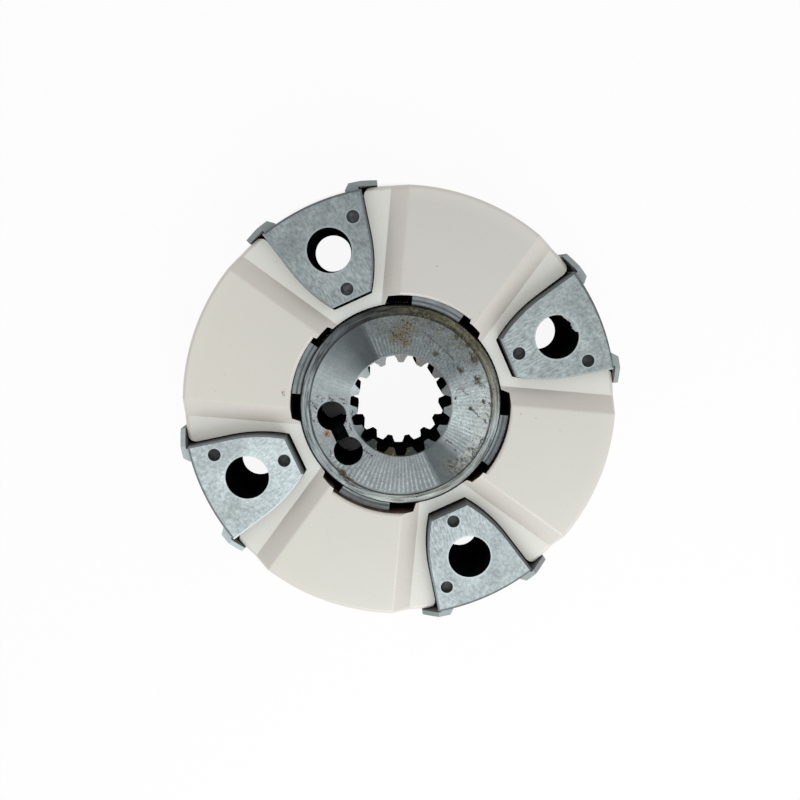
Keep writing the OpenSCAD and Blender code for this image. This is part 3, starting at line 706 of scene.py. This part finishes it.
# Pale floor: white to the camera outside the object and through its bores, with a faint shadow kept
def make_floor():
    bpy.ops.mesh.primitive_plane_add(size=FLOOR_SIZE, location=(0, 0, FLOOR_Z))
    floor = bpy.context.object
    floor.name = "floor"
    t = Tree("floor")
    glow = t.add("ShaderNodeEmission")
    r = t.radius()
    t.set(Base_Color=(0.9, 0.9, 0.9), Roughness=0.9, Specular_IOR_Level=0.2)
    clear = t.most(t.rise(r, 106 * MM, 112 * MM), t.rise(r, 26 * MM, 27 * MM, 1.0, 0.0),
                   t.rise(t.from_bolt(), 11.5 * MM, 12.5 * MM, 1.0, 0.0))
    blend = t.add("ShaderNodeMixShader")
    t.link(t.both(sees_white(t.tree), clear, FLOOR_WHITE), blend.inputs[0])
    t.link(t.shader.outputs[0], blend.inputs[1])
    t.link(glow.outputs[0], blend.inputs[2])
    t.link(blend.outputs[0], t.out.inputs["Surface"])
    floor.data.materials.append(t.mat)


def make_lights():
    world = bpy.data.worlds.new("world")
    scene.world = world
    world.use_nodes = True
    tree = world.node_tree
    strength = tree.nodes.new("ShaderNodeMapRange")
    strength.inputs["To Min"].default_value = WORLD_LIGHT
    strength.inputs["To Max"].default_value = 1.0
    tree.links.new(sees_white(tree), strength.inputs["Value"])
    tree.links.new(strength.outputs[0], tree.nodes["Background"].inputs["Strength"])
    tree.nodes["Background"].inputs["Color"].default_value = (1, 1, 1, 1)
    data = bpy.data.lights.new("key", "AREA")
    data.size = LAMP_SIZE
    data.energy = LAMP_POWER
    lamp = bpy.data.objects.new("key", data)
    lamp.location = LAMP_FAR * Vector((math.sin(LAMP_ZENITH) * math.cos(LAMP_AZIMUTH),
                                       math.sin(LAMP_ZENITH) * math.sin(LAMP_AZIMUTH),
                                       math.cos(LAMP_ZENITH)))
    lamp.rotation_euler = (-lamp.location).to_track_quat("-Z", "Y").to_euler()
    scene.collection.objects.link(lamp)


def is_wall(centre, normal):
    return abs(normal.z) < 0.6


def in_bolt_bore(centre, normal):
    from_axis = math.hypot(abs(centre.x) - BOLT_X, abs(centre.y) - BOLT_X)
    return is_wall(centre, normal) and from_axis < BOLT_WALL_R


def is_hub_wall(centre, normal):
    return abs(normal.z) < 0.3


def in_notch(centre, normal):
    near = math.hypot(centre.x, centre.y) < NOTCH_R + 0.5 * MM
    return near and normal.z > -0.5 and (normal.z < 0.35 or centre.z < 35 * MM)


# Materials for all nodes, and the one piece that the scene adds
def dress():
    inner, screws, pins = inner_aluminium(), black_oxide(), spring_steel()
    skin, shade_black = cast_skin(), painted_shade_walls()
    casts = [cast_aluminium("insert_aluminium_%d" % (k + 1), tone, math.radians(angle), holes, hole_shade_tone)
             for k, (tone, angle, holes, hole_shade_tone) in enumerate(CASTS)]
    # Walls of the hub and of the bolt bores take the near-black painted shade
    paint("hub", hub_steel(), (shade_black, is_hub_wall))
    paint("flexible_element", white_plastic(), (notch_shade_plastic(), in_notch))
    for k, cast in enumerate(casts):
        paint("outer_insert_%d" % (k + 1), cast, (skin, is_wall), (shade_black, in_bolt_bore))
        paint("inner_insert_%d" % (k + 1), inner)
        paint("insert_screw_%d" % (k + 1), screws)
        paint("spring_pin_%d" % (k + 1), pins)
    # The clamp screws, down in the slot, take the same painted shade
    for name in ("clamp_screw_1", "clamp_screw_2"):
        paint(name, shade_black)
    make_burr(casts[0])


make_camera()
make_floor()
make_lights()
dress()

scene.view_settings.view_transform = "Standard"
